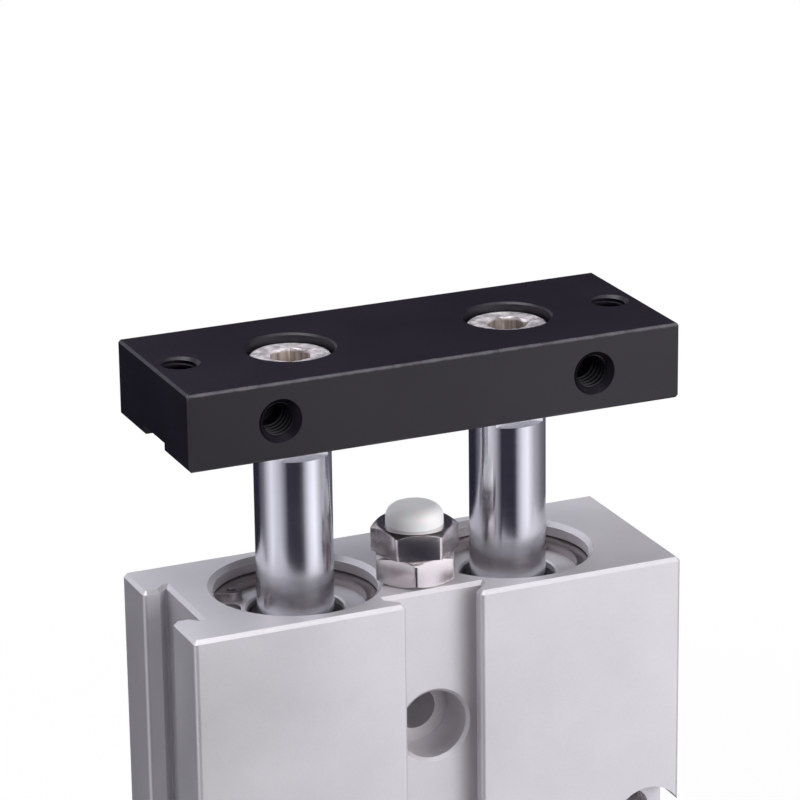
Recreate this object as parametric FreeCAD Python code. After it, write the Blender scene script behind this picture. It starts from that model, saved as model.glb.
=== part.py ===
"""Twin rod pneumatic cylinder, bore 16, standing on its rear end with the rods along +Z.

Origin: centre of the rear end face. +X to the right and -Y to the front, as seen facing the front groove.
Rest pose: the rods stand rest_extension out of their fully retracted place.
"""
import FreeCAD, Part
import math
import os

from FreeCAD import Vector

# Driving dimensions, in millimetres

# Rods, bores and stroke
rod_diameter = 8.0
rod_pitch = 24.0
bore_diameter = 16.0
stroke = 20.0
rest_extension = 4.75

# Body extrusion
seat_step = 0.5              # radial step from the bore to the wider cover seat at each end
seat_depth = 8.0             # depth of the cover seats
side_wall = 6.5              # cover seat to the side face
face_wall = 2.0              # cover seat to the front and back faces
end_chamfer = 0.4
corner_margin = 0.1          # how much larger the corner radii are than the end chamfers
mouth_chamfer = 0.5          # at both mouths of each bore

# Front groove
groove_mouth = 8.2
groove_lip = 1.2
groove_undercut = 1.2        # how far it widens behind each lip, at 45 degrees
groove_floor_land = 0.35     # straight wall between the slanted undercut and the floor

# Sensor slot on the left side
sensor_mouth = 8.4
sensor_lip = 1.8
sensor_undercut = 0.9
sensor_floor_land = 0.15

# Mounting holes along the front groove
mount_hole = 4.5
mount_head_bore = 7.4
mount_head_depth = 5.0
mount_below_top = 15.0
mount_spacing = 35.0
mount_rim_chamfer = 0.35

# Air ports
port_thread = 5.0
port_drill = 4.2
port_seat_diameter = 8.2
port_seat_depth = 4.2
port_thread_depth = 3.8
port_from_side = 3.6
port_past_cushion = 0.7      # port centre beyond the cushion's face
cross_drilling = 3.0
plug_length = 2.4
plug_sink = 0.3
plug_hex = 2.5
plug_hex_depth = 1.2

# Covers, rings, cushions and seals
end_lip = 1.5                # end face to the retaining ring groove
ring_thickness = 1.0
ring_groove_width = 1.1
ring_groove_depth = 0.4
ring_radial_width = 1.6
ring_ear_radius = 1.1
ring_ear_hole = 1.0
ring_ear_reach = 1.4         # seat wall to the centre of an ear
ring_ear_spread = 21.0       # degrees each side of the ring's gap
ring_gap = 24.0              # degrees
front_ring_turns = {"left": 157.0, "right": 65.0}    # degrees, where the gap of each ring points
rear_ring_turn = 90.0
rod_cover_length = 24.7
rear_cover_length = 8.2
cushion_thickness = 1.5
cushion_outer_gap = 1.5
bush_length = 14.0
bush_wall = 1.0
rod_seal_height = 4.0
rod_seal_wall = 2.2
rod_seal_sink = 0.8          # thickness of the cover's lip above the seal
cover_mouth_gap = 1.0        # radial, rod to the cover's top opening
cover_mouth_chamfer = 0.2
wiper_height = 0.45          # lip of the rod seal that stands up in that opening
wiper_width = 0.6
o_ring_width = 1.6
o_ring_depth = 1.1
o_ring_below_flange = 1.6    # land between a rod cover's flange and its O-ring
seal_bevel = 0.35            # bevel on the edges of O-rings and piston seals
rear_puller_hole = 3.0
rear_puller_depth = 5.0

# Pistons
piston_length = 13.5
piston_spigot_length = 2.5
piston_spigot_step = 1.75    # radial step of the spigots under the bore
piston_land = 0.7
wear_ring_width = 2.2
wear_ring_depth = 0.8
piston_seal_width = 1.9
piston_seal_depth = 1.5
magnet_width = 1.6
magnet_depth = 1.6
rod_tail_diameter = 5.0
piston_nut_hex = 8.0
piston_nut_height = 2.7
piston_nut_sink = 0.3

# End plate, its screws and its tapped holes
plate_thickness = 8.0
plate_end_inset = 0.25
plate_face_inset = 0.5
plate_chamfer = 0.25
flats_width = 6.0            # across the wrench flats of a rod
flats_below_plate = 2.9
plate_groove_depth = 1.0     # seat for the flatted rod tips
screw_thread = 5.0
screw_head_diameter = 8.5
screw_head_height = 3.5
screw_head_chamfer = 0.5
screw_head_sink = 0.8
screw_head_gap = 0.3
screw_hex = 4.0
screw_hex_depth = 2.0
screw_hex_turns = {"left": 8.0, "right": 38.0}    # degrees, one corner of each socket from +X
screw_length = 12.0
screw_hole_gap = 0.15
counterbore_chamfer = 0.2
tapped_drill = 3.3
top_tapped_from_end = 3.0
top_tapped_mouth = 4.1
front_tapped_pitch = 34.2
front_tapped_mouth = 4.6
front_tapped_depth = 5.5

# Stroke adjuster between the rods
adjuster_forward = 3.2
adjuster_thread = 5.0
adjuster_hex = 8.0
lock_nut_height = 3.0
adjuster_head_height = 2.8
adjuster_engagement = 8.0
adjuster_hole_spare = 2.0
adjuster_lead = 0.8
adjuster_turns = 6           # turns from the lowest setting until the tip meets the retracted plate
adjuster_head_turn = -17.0   # degrees, one corner of the bolt head from +X
lock_nut_turn = 8.0
hex_chamfer_drop = 0.45
hex_face_inset = 0.12        # flats to the chamfer circle on the end of a hexagon
tip_diameter = 6.0
tip_height = 1.95
tip_straight = 0.6
tip_stem_diameter = 3.0
tip_stem_length = 1.5

# Clearances
seat_fit = 0.02              # radial, parts that stay put in their seats
sliding_fit = 0.03           # radial, rods in bushes and seals, rings in the bores
piston_fit = 0.08            # radial, piston metal to the bore
rod_gap = 0.3                # radial, rod past a cover or a cushion
end_gap = 0.2                # piston to cushion at the ends of the stroke
stop_gap = 0.05              # plate to the raised adjuster tip when retracted, and bolt head to lock nut
tail_spare = 0.2             # room under each screw
cut_past = 1.0               # how far a cutter reaches outside the face that it cuts
same_place = 1e-6            # edges nearer than this to a place are on it

# Worked out from the driving dimensions
seat_diameter = bore_diameter + 2 * seat_step
body_width = rod_pitch + seat_diameter + 2 * side_wall
body_depth = seat_diameter + 2 * face_wall
front_face = -body_depth / 2
right_face = body_width / 2
end_stack = end_lip + ring_groove_width
rear_cover_top = end_stack + rear_cover_length
rear_cushion_top = rear_cover_top + cushion_thickness
piston_travel_bottom = rear_cushion_top + end_gap
front_cushion_bottom = piston_travel_bottom + stroke + piston_length + end_gap
rod_cover_bottom = front_cushion_bottom + cushion_thickness
rod_cover_top = rod_cover_bottom + rod_cover_length
body_top = rod_cover_top + end_stack
rod_cover_o_ring_bottom = body_top - seat_depth - o_ring_below_flange - o_ring_width
rear_cover_o_ring_bottom = (end_stack + seat_depth - o_ring_width) / 2
groove_depth = groove_lip + groove_undercut + groove_floor_land
corner_radius = end_chamfer + corner_margin
sides = {"left": -1, "right": 1}

adjuster_top = body_top + lock_nut_height + stop_gap + adjuster_head_height + tip_height
adjuster_travel = adjuster_turns * adjuster_lead
plate_bottom = adjuster_top + adjuster_travel + stop_gap + rest_extension
plate_top = plate_bottom + plate_thickness
plate_length = body_width - 2 * plate_end_inset
plate_depth = body_depth - 2 * plate_face_inset
rod_top = plate_bottom + plate_groove_depth
piston_bottom = piston_travel_bottom + rest_extension
piston_top = piston_bottom + piston_length
screw_seat = plate_top - screw_head_sink - screw_head_height


def rod_x(side):
    """X of the rod axis on one side."""
    return sides[side] * rod_pitch / 2


def upright(diameter, bottom, top, x=0.0, y=0.0):
    """Cylinder along Z between two heights."""
    return Part.makeCylinder(diameter / 2, top - bottom, Vector(x, y, bottom))


def along(diameter, start, direction, length):
    """Cylinder of a given length from a start point."""
    return Part.makeCylinder(diameter / 2, length, Vector(*start), Vector(*direction))


def countersink(drill, mouth, point, inward):
    """45 degree cone that widens a drilled hole to its mouth, reaching a little outside the face."""
    sink = (mouth - drill) / 2
    axis = Vector(*inward)
    start = Vector(*point) - axis * cut_past
    return Part.makeCone(mouth / 2 + cut_past, drill / 2, sink + cut_past, start, axis)


def turned(profile, x=0.0, y=0.0):
    """Solid of revolution about Z from radius and height pairs, set at x, y."""
    points = [Vector(radius, 0, height) for radius, height in profile]
    face = Part.Face(Part.makePolygon(points + points[:1]))
    solid = face.revolve(Vector(0, 0, 0), Vector(0, 0, 1), 360)
    solid.translate(Vector(x, y, 0))
    return solid


def ring(outer, inner, bottom, top, x):
    """Plain ring about a rod axis."""
    return upright(outer, bottom, top, x).cut(upright(inner, bottom, top, x))


def bevelled_ring(outer, inner, bottom, top, x):
    """Ring about a rod axis with all four edges bevelled, as a rubber ring sits in its groove."""
    large, small, bevel = outer / 2, inner / 2, seal_bevel
    profile = [(small, bottom + bevel), (small + bevel, bottom)]
    profile += [(large - bevel, bottom), (large, bottom + bevel)]
    profile += [(large, top - bevel), (large - bevel, top)]
    profile += [(small + bevel, top), (small, top - bevel)]
    return turned(profile, x)


def over_corners(across_flats):
    """Width over the corners of a hexagon."""
    return 2 * across_flats / math.sqrt(3)


def hexagon(across_flats, bottom, top, x=0.0, y=0.0, turn=0.0):
    """Hexagonal prism along Z. A turn of 0 puts a corner on the X axis."""
    radius = over_corners(across_flats) / 2
    corners = []
    for index in range(7):
        angle = math.radians(60 * index + turn)
        corners.append(Vector(x + radius * math.cos(angle), y + radius * math.sin(angle), bottom))
    return Part.Face(Part.makePolygon(corners)).extrude(Vector(0, 0, top - bottom))


def chamfered_hexagon(across_flats, bottom, top, x, y, turn, drop_bottom, drop_top):
    """Hexagon whose corners are turned off by a cone at its ends, as on a nut or a bolt head."""
    corner = over_corners(across_flats) / 2
    flat = across_flats / 2 - hex_face_inset
    outline = [(0, bottom)]
    outline += [(flat, bottom), (corner, bottom + drop_bottom)] if drop_bottom else [(corner, bottom)]
    outline += [(corner, top - drop_top), (flat, top)] if drop_top else [(corner, top)]
    outline += [(0, top)]
    return hexagon(across_flats, bottom, top, x, y, turn).common(turned(outline, x, y))


def end_edges(shape, heights):
    """Edges of a prism that lie wholly at one of the given heights."""
    found = []
    for edge in shape.Edges:
        box = edge.BoundBox
        if any(max(abs(box.ZMin - height), abs(box.ZMax - height)) < same_place for height in heights):
            found.append(edge)
    return found


def vertical_edges(shape, places):
    """Edges of a prism along Z that stand at one of the given x, y places."""
    found = []
    for edge in shape.Edges:
        box = edge.BoundBox
        if box.ZLength < same_place or max(box.XLength, box.YLength) > same_place:
            continue
        if any(math.hypot(box.XMin - x, box.YMin - y) < same_place for x, y in places):
            found.append(edge)
    return found


def slot_prism(mouth, lip, undercut, floor_land):
    """Slot cutter along Z: mouth on the plane Y = 0, cutting towards +Y, centred on X = 0."""
    half = mouth / 2
    wide = half + undercut
    slant_end = lip + undercut
    right_side = [(half, -cut_past), (half, lip), (wide, slant_end), (wide, slant_end + floor_land)]
    outline = right_side + [(-x, y) for x, y in reversed(right_side)]
    points = [Vector(x, y, -cut_past) for x, y in outline]
    return Part.Face(Part.makePolygon(points + points[:1])).extrude(Vector(0, 0, body_top + 2 * cut_past))


def body_extrusion():
    """Outer extrusion with the sensor slot on the left, the front groove and the chamfered ends."""
    shape = Part.makeBox(body_width, body_depth, body_top, Vector(-right_face, front_face, 0))
    front_groove = slot_prism(groove_mouth, groove_lip, groove_undercut, groove_floor_land)
    front_groove.translate(Vector(0, front_face, 0))
    sensor_slot = slot_prism(sensor_mouth, sensor_lip, sensor_undercut, sensor_floor_land)
    sensor_slot.rotate(Vector(0, 0, 0), Vector(0, 0, 1), -90)
    sensor_slot.translate(Vector(-right_face, 0, 0))
    shape = shape.cut(front_groove).cut(sensor_slot)
    corners = [(sx * right_face, sy * body_depth / 2) for sx in (-1, 1) for sy in (-1, 1)]
    corners += [(sign * groove_mouth / 2, front_face) for sign in (-1, 1)]
    corners += [(-right_face, sign * sensor_mouth / 2) for sign in (-1, 1)]
    shape = shape.makeFillet(corner_radius, vertical_edges(shape, corners))
    return shape.makeChamfer(end_chamfer, end_edges(shape, (0, body_top)))


def bore_cutters(x):
    """Cutters of one bore: the bore, both cover seats, both ring grooves and the mouth chamfers."""
    groove_diameter = seat_diameter + 2 * ring_groove_depth
    yield upright(bore_diameter, 0, body_top, x)
    yield upright(seat_diameter, 0, seat_depth, x)
    yield upright(seat_diameter, body_top - seat_depth, body_top, x)
    yield upright(groove_diameter, end_lip, end_stack, x)
    yield upright(groove_diameter, body_top - end_stack, body_top - end_lip, x)
    mouth = seat_diameter + 2 * mouth_chamfer
    yield countersink(seat_diameter, mouth, (x, 0, 0), (0, 0, 1))
    yield countersink(seat_diameter, mouth, (x, 0, body_top), (0, 0, -1))


def port_heights():
    """Heights of the rear and the front air port."""
    return rear_cushion_top + port_past_cushion, front_cushion_bottom - port_past_cushion


def port_cutters(height):
    """Front port with its sunk seat, the side port that meets it, and the drilling to the far bore."""
    port_x = right_face - port_from_side
    seat_floor = front_face + port_seat_depth
    outside = (port_x, front_face - cut_past, height)
    yield along(port_seat_diameter, outside, (0, 1, 0), port_seat_depth + cut_past)
    yield along(port_drill, (port_x, seat_floor, height), (0, 1, 0), port_thread_depth)
    yield along(cross_drilling, (port_x, seat_floor, height), (0, 1, 0), -seat_floor)
    plug_hole_depth = plug_sink + plug_length
    side = (right_face + cut_past, 0, height)
    yield along(port_thread + 2 * seat_fit, side, (-1, 0, 0), plug_hole_depth + cut_past)
    yield along(cross_drilling, (right_face, 0, height), (-1, 0, 0), right_face + rod_pitch / 2)


def mount_cutters(height):
    """One mounting hole on the centre line, with its screw head bore in the groove floor."""
    groove_floor = front_face + groove_depth
    yield along(mount_hole, (0, front_face, height), (0, 1, 0), body_depth)
    yield along(mount_head_bore, (0, groove_floor, height), (0, 1, 0), mount_head_depth)
    rim = mount_head_bore + 2 * mount_rim_chamfer
    yield countersink(mount_head_bore, rim, (0, groove_floor, height), (0, 1, 0))


def cylinder_body():
    """Silver body: extrusion, bores, ports, mounting holes and the adjuster's tapped hole."""
    cutters = []
    for side in sides:
        cutters += bore_cutters(rod_x(side))
    for height in port_heights():
        cutters += port_cutters(height)
    for height in (body_top - mount_below_top, body_top - mount_below_top - mount_spacing):
        cutters += mount_cutters(height)
    hole_bottom = body_top - adjuster_engagement - adjuster_hole_spare
    adjuster_hole = adjuster_thread + 2 * sliding_fit
    cutters.append(upright(adjuster_hole, hole_bottom, body_top, 0, -adjuster_forward))
    return body_extrusion().cut(cutters)


def side_port_plugs():
    """Socket plugs that close the two side ports, sunk a little under the right face."""
    plugs = []
    for height in port_heights():
        outer = right_face - plug_sink
        plug = along(port_thread, (outer - plug_length, 0, height), (1, 0, 0), plug_length)
        socket = hexagon(plug_hex, 0, plug_hex_depth)
        socket.rotate(Vector(0, 0, 0), Vector(0, 1, 0), 90)
        socket.translate(Vector(outer - plug_hex_depth, 0, height))
        plugs.append(plug.cut(socket))
    return Part.makeCompound(plugs)


def rod_cover(side):
    """Rod cover: flange in the seat, neck in the bore, grooves for the seal and O-ring, room for the bush."""
    x = rod_x(side)
    flange_bottom = body_top - seat_depth
    shape = upright(seat_diameter - 2 * seat_fit, flange_bottom, rod_cover_top, x)
    shape = shape.fuse(upright(bore_diameter - 2 * seat_fit, rod_cover_bottom, flange_bottom, x))
    seal_outer = rod_diameter + 2 * rod_seal_wall + 2 * seat_fit
    seal_top = rod_cover_top - rod_seal_sink
    bush_outer = rod_diameter + 2 * (sliding_fit + bush_wall + seat_fit)
    opening = rod_diameter + 2 * cover_mouth_gap
    mouth = opening + 2 * cover_mouth_chamfer
    cutters = [
        upright(rod_diameter + 2 * rod_gap, rod_cover_bottom, rod_cover_top, x),
        upright(opening, seal_top, rod_cover_top, x),
        countersink(opening, mouth, (x, 0, rod_cover_top), (0, 0, -1)),
        upright(seal_outer, seal_top - rod_seal_height, seal_top, x),
        upright(bush_outer, rod_cover_bottom, rod_cover_bottom + bush_length, x),
        o_ring_groove(bore_diameter, rod_cover_o_ring_bottom, x),
    ]
    return shape.cut(cutters).removeSplitter()


def o_ring_groove(wall_diameter, bottom, x):
    """Cutter for the groove that holds an O-ring against a wall of the given diameter."""
    floor = wall_diameter - 2 * o_ring_depth
    return ring(wall_diameter + cut_past, floor - 2 * seat_fit, bottom, bottom + o_ring_width, x)


def o_ring(wall_diameter, bottom, x):
    """O-ring in its pressed shape, filling its groove to the wall."""
    outer = wall_diameter - 2 * seat_fit
    inner = wall_diameter - 2 * o_ring_depth
    return bevelled_ring(outer, inner, bottom + seat_fit, bottom + o_ring_width - seat_fit, x)


def rod_cover_o_ring(side):
    """O-ring round the neck of a rod cover."""
    return o_ring(bore_diameter, rod_cover_o_ring_bottom, rod_x(side))


def guide_bush(side):
    """Sleeve that guides the rod in the lower part of its cover."""
    inner = rod_diameter + 2 * sliding_fit
    return ring(inner + 2 * bush_wall, inner, rod_cover_bottom, rod_cover_bottom + bush_length, rod_x(side))


def rod_seal(side):
    """Rod seal in the groove of its cover, with a wiper lip that stands up round the rod."""
    top = rod_cover_top - rod_seal_sink
    bottom = top - rod_seal_height
    wiper_top = top + wiper_height
    inner = rod_diameter / 2 + sliding_fit
    outer = rod_diameter / 2 + rod_seal_wall
    profile = [(outer, bottom), (outer, top), (inner + wiper_width, top)]
    profile += [(inner + wiper_width / 2, wiper_top), (inner, wiper_top), (inner, bottom)]
    return turned(profile, rod_x(side))


def cushion(bottom, inner, x):
    """Soft stop ring for the end of the stroke."""
    outer = bore_diameter - 2 * cushion_outer_gap
    return ring(outer, inner, bottom, bottom + cushion_thickness, x)


def front_cushion(side):
    """Cushion under a rod cover."""
    return cushion(front_cushion_bottom, rod_diameter + 2 * rod_gap, rod_x(side))


def rear_cushion(side):
    """Cushion on top of a rear cover, open in the middle under the rod tail."""
    return cushion(rear_cover_top, rod_tail_diameter + 2 * rod_gap, rod_x(side))


def retaining_ring(x, bottom, direction):
    """Internal retaining ring with two drilled ears beside its gap. Direction: where the gap points."""
    top = bottom + ring_thickness
    outer = seat_diameter + 2 * ring_groove_depth - 2 * seat_fit
    shape = ring(outer, outer - 2 * ring_radial_width, bottom, top, 0)
    ear_place = seat_diameter / 2 - ring_ear_reach
    holes = []
    for spread in (-ring_ear_spread, ring_ear_spread):
        angle = math.radians(spread)
        ear_x = ear_place * math.cos(angle)
        ear_y = ear_place * math.sin(angle)
        shape = shape.fuse(upright(2 * ring_ear_radius, bottom, top, ear_x, ear_y))
        holes.append(upright(ring_ear_hole, bottom, top, ear_x, ear_y))
    half_gap = math.radians(ring_gap / 2)
    reach = outer
    wedge = [Vector(0, 0, bottom), Vector(reach, -reach * math.tan(half_gap), bottom)]
    wedge += [Vector(reach, reach * math.tan(half_gap), bottom), Vector(0, 0, bottom)]
    holes.append(Part.Face(Part.makePolygon(wedge)).extrude(Vector(0, 0, ring_thickness)))
    shape = shape.cut(holes).removeSplitter()
    shape.rotate(Vector(0, 0, 0), Vector(0, 0, 1), direction)
    shape.translate(Vector(x, 0, 0))
    return shape


def front_retaining_ring(side):
    """Ring on top of a rod cover."""
    return retaining_ring(rod_x(side), rod_cover_top, front_ring_turns[side])


def rear_retaining_ring(side):
    """Ring under a rear cover."""
    return retaining_ring(rod_x(side), end_stack - ring_thickness, rear_ring_turn)


def rear_cover(side):
    """Plug that closes the rear of a bore, with an O-ring groove and a blind puller hole."""
    x = rod_x(side)
    shape = upright(seat_diameter - 2 * seat_fit, end_stack, seat_depth, x)
    shape = shape.fuse(upright(bore_diameter - 2 * seat_fit, seat_depth, rear_cover_top, x))
    puller = upright(rear_puller_hole, end_stack, end_stack + rear_puller_depth, x)
    return shape.cut([o_ring_groove(seat_diameter, rear_cover_o_ring_bottom, x), puller]).removeSplitter()


def rear_cover_o_ring(side):
    """O-ring round the flange of a rear cover."""
    return o_ring(seat_diameter, rear_cover_o_ring_bottom, rod_x(side))


def piston_groove_bottoms():
    """Heights of the magnet, seal and wear ring grooves of a piston, from below."""
    magnet = piston_bottom + piston_spigot_length + piston_land
    seal = magnet + magnet_width + piston_land
    wear = seal + piston_seal_width + piston_land
    return magnet, seal, wear


def piston_groove(depth, bottom, width, x):
    """Cutter for a groove round a piston."""
    floor = bore_diameter - 2 * depth
    return ring(bore_diameter + cut_past, floor - 2 * seat_fit, bottom, bottom + width, x)


def piston(side):
    """Piston with spigots at both ends, three ring grooves and a recess for its nut."""
    x = rod_x(side)
    magnet, seal, wear = piston_groove_bottoms()
    spigot = bore_diameter - 2 * piston_spigot_step
    shape = upright(spigot, piston_bottom, piston_top, x)
    body_bottom = piston_bottom + piston_spigot_length
    body_diameter = bore_diameter - 2 * piston_fit
    shape = shape.fuse(upright(body_diameter, body_bottom, piston_top - piston_spigot_length, x))
    recess = over_corners(piston_nut_hex) + 2 * rod_gap
    cutters = [
        piston_groove(magnet_depth, magnet, magnet_width, x),
        piston_groove(piston_seal_depth, seal, piston_seal_width, x),
        piston_groove(wear_ring_depth, wear, wear_ring_width, x),
        upright(rod_tail_diameter + 2 * seat_fit, piston_bottom, piston_top, x),
        upright(recess, piston_bottom, piston_bottom + piston_nut_height + piston_nut_sink, x),
    ]
    return shape.cut(cutters).removeSplitter()


def piston_ring(make, depth, bottom, width, wall_gap, x):
    """Ring that fills a piston groove up to a given gap from the bore."""
    outer = bore_diameter - 2 * wall_gap
    inner = bore_diameter - 2 * depth
    return make(outer, inner, bottom + seat_fit, bottom + width - seat_fit, x)


def piston_magnet(side):
    """Magnet ring that the sensor slot's switch would read."""
    bottom = piston_groove_bottoms()[0]
    return piston_ring(ring, magnet_depth, bottom, magnet_width, piston_fit, rod_x(side))


def piston_seal(side):
    """Rubber seal of a piston."""
    bottom = piston_groove_bottoms()[1]
    return piston_ring(bevelled_ring, piston_seal_depth, bottom, piston_seal_width, sliding_fit, rod_x(side))


def piston_wear_ring(side):
    """Guide band of a piston."""
    bottom = piston_groove_bottoms()[2]
    return piston_ring(ring, wear_ring_depth, bottom, wear_ring_width, sliding_fit, rod_x(side))


def piston_nuts():
    """Nuts that hold the pistons on the rod tails."""
    nuts = []
    for side in sides:
        x = rod_x(side)
        bottom = piston_bottom + piston_nut_sink
        top = bottom + piston_nut_height
        hole = upright(rod_tail_diameter + 2 * seat_fit, bottom, top, x)
        nuts.append(hexagon(piston_nut_hex, bottom, top, x).cut(hole))
    return Part.makeCompound(nuts)


def piston_rod(side):
    """Chromed rod: flatted and tapped tip under the plate, turned-down tail through the piston."""
    x = rod_x(side)
    shape = upright(rod_diameter, piston_top, rod_top, x)
    shape = shape.fuse(upright(rod_tail_diameter, piston_bottom + piston_nut_sink, piston_top, x))
    flats_bottom = plate_bottom - flats_below_plate
    flats_height = rod_top - flats_bottom
    cutters = []
    for sign in (-1, 1):
        near = flats_width / 2 if sign > 0 else -flats_width / 2 - rod_diameter
        corner = Vector(x - rod_diameter, near, flats_bottom)
        cutters.append(Part.makeBox(2 * rod_diameter, rod_diameter, flats_height, corner))
    screw_end = screw_seat - screw_length
    cutters.append(upright(screw_thread + 2 * seat_fit, screw_end - tail_spare, rod_top, x))
    return shape.cut(cutters).removeSplitter()


def end_plate():
    """Black bar that ties the rods: sunk screw heads, a groove that seats the rod tips, tapped holes."""
    corner = Vector(-plate_length / 2, -plate_depth / 2, plate_bottom)
    shape = Part.makeBox(plate_length, plate_depth, plate_thickness, corner)
    shape = shape.makeChamfer(plate_chamfer, shape.Edges)
    groove_width = flats_width + 2 * seat_fit
    groove_corner = Vector(-plate_length, -groove_width / 2, plate_bottom - cut_past)
    cutters = [Part.makeBox(2 * plate_length, groove_width, plate_groove_depth + cut_past, groove_corner)]
    head_bore = screw_head_diameter + 2 * screw_head_gap
    head_rim = head_bore + 2 * counterbore_chamfer
    for side, sign in sides.items():
        x = rod_x(side)
        cutters.append(upright(head_bore, screw_seat, plate_top, x))
        cutters.append(countersink(head_bore, head_rim, (x, 0, plate_top), (0, 0, -1)))
        cutters.append(upright(screw_thread + 2 * screw_hole_gap, plate_bottom, screw_seat, x))
        top_x = sign * (plate_length / 2 - top_tapped_from_end)
        cutters.append(upright(tapped_drill, plate_bottom, plate_top, top_x))
        cutters.append(countersink(tapped_drill, top_tapped_mouth, (top_x, 0, plate_top), (0, 0, -1)))
        front = (sign * front_tapped_pitch / 2, -plate_depth / 2, plate_bottom + plate_thickness / 2)
        cutters.append(along(tapped_drill, front, (0, 1, 0), front_tapped_depth))
        cutters.append(countersink(tapped_drill, front_tapped_mouth, front, (0, 1, 0)))
    return shape.cut(cutters)


def plate_screws():
    """Low socket head screws from the end plate into the rods."""
    screws = []
    for side in sides:
        x = rod_x(side)
        head_top = screw_seat + screw_head_height
        head_radius = screw_head_diameter / 2
        profile = [(0, screw_seat - screw_length), (screw_thread / 2, screw_seat - screw_length)]
        profile += [(screw_thread / 2, screw_seat), (head_radius, screw_seat)]
        profile += [(head_radius, head_top - screw_head_chamfer)]
        profile += [(head_radius - screw_head_chamfer, head_top), (0, head_top)]
        turn = screw_hex_turns[side]
        socket = hexagon(screw_hex, head_top - screw_hex_depth, head_top, x, turn=turn)
        screws.append(turned(profile, x).cut(socket))
    return Part.makeCompound(screws)


def adjuster_lock_nut():
    """Nut on the body's top face, under the head of the adjuster bolt."""
    top = body_top + lock_nut_height
    y = -adjuster_forward
    drop = hex_chamfer_drop
    shape = chamfered_hexagon(adjuster_hex, body_top, top, 0, y, lock_nut_turn, drop, drop)
    return shape.cut(upright(adjuster_thread + 2 * sliding_fit, body_top, top, 0, y))


def adjuster_bolt():
    """Stroke adjusting bolt with a hexagon head that carries the tip."""
    y = -adjuster_forward
    head_bottom = body_top + lock_nut_height + stop_gap
    head_top = head_bottom + adjuster_head_height
    shank_bottom = body_top - adjuster_engagement
    turn, drop = adjuster_head_turn, hex_chamfer_drop
    shape = chamfered_hexagon(adjuster_hex, head_bottom, head_top, 0, y, turn, 0, drop)
    shape = shape.fuse(upright(adjuster_thread, shank_bottom, head_bottom, 0, y))
    stem_hole_bottom = head_top - tip_stem_length - seat_fit
    stem_hole = upright(tip_stem_diameter + 2 * seat_fit, stem_hole_bottom, head_top, 0, y)
    return shape.cut(stem_hole).removeSplitter()


def adjuster_tip():
    """Domed nylon tip, its stem set in the bolt head. The end plate stops on it."""
    y = -adjuster_forward
    seat = adjuster_top - tip_height
    dome = upright(tip_diameter, seat, adjuster_top, 0, y)
    dome = dome.makeFillet(tip_height - tip_straight, end_edges(dome, (adjuster_top,)))
    return dome.fuse(upright(tip_stem_diameter, seat - tip_stem_length, seat, 0, y))


single_pieces = [
    cylinder_body, side_port_plugs, end_plate, plate_screws, piston_nuts,
    adjuster_lock_nut, adjuster_bolt, adjuster_tip,
]
paired_pieces = [
    rod_cover, rod_cover_o_ring, guide_bush, rod_seal, front_cushion, front_retaining_ring,
    rear_cover, rear_cover_o_ring, rear_cushion, rear_retaining_ring,
    piston_rod, piston, piston_seal, piston_wear_ring, piston_magnet,
]

os.makedirs("parts", exist_ok=True)
for make in single_pieces:
    make().exportStep(f"parts/{make.__name__}.step")
for make in paired_pieces:
    for side in sides:
        make(side).exportStep(f"parts/{make.__name__}_{side}.step")
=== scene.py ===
"""Looks of a twin rod pneumatic cylinder: fine edges, threads, finishes, studio light and camera.

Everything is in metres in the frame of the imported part: rods along +Z, groove side towards -Y.
"""

import bpy
import math

from collections import namedtuple
from contextlib import contextmanager
from mathutils import Matrix, Quaternion, Vector

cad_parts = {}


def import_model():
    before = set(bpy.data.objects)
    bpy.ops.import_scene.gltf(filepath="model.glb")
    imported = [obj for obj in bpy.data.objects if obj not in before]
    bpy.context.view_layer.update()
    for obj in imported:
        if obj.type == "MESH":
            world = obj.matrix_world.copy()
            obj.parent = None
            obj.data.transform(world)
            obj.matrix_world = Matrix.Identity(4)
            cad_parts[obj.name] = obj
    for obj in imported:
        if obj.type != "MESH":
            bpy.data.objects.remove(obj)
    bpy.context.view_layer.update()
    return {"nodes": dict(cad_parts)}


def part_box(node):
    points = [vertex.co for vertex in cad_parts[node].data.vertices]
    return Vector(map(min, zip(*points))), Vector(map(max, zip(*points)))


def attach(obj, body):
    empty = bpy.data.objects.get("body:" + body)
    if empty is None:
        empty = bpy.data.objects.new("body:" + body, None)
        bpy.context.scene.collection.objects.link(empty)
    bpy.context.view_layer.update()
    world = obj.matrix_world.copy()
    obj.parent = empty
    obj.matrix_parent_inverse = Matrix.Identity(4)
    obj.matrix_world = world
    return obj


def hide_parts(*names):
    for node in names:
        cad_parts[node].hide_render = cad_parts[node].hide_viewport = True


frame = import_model()

MM = 0.001
SIDES = {"left": -1, "right": 1}
SAME_POINT = 1e-6                  # points of one mesh nearer than this are merged
FLAT_ANGLE = math.radians(1)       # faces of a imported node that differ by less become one
SMOOTH_ANGLE = math.radians(30)    # sharper edges stay edges
OVERRUN = 1.0 * MM                 # how far a cutter goes past what it cuts

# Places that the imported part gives

body_low, body_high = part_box("cylinder_body")
plate_low, plate_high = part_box("end_plate")
screw_low, screw_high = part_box("plate_screws")
nut_low, nut_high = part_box("adjuster_lock_nut")
bolt_low, bolt_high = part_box("adjuster_bolt")
tip_low, tip_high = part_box("adjuster_tip")
rod_low, rod_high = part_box("piston_rod_right")
piston_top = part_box("piston_right")[1].z

rod_x = (rod_low.x + rod_high.x) / 2
rod_radius = (rod_high.x - rod_low.x) / 2
adjuster_y = (nut_low.y + nut_high.y) / 2
plate_centre = (plate_low + plate_high) / 2
top_centre = Vector((0, 0, body_high.z))

# Sizes of the pieces that are modelled here

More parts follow.
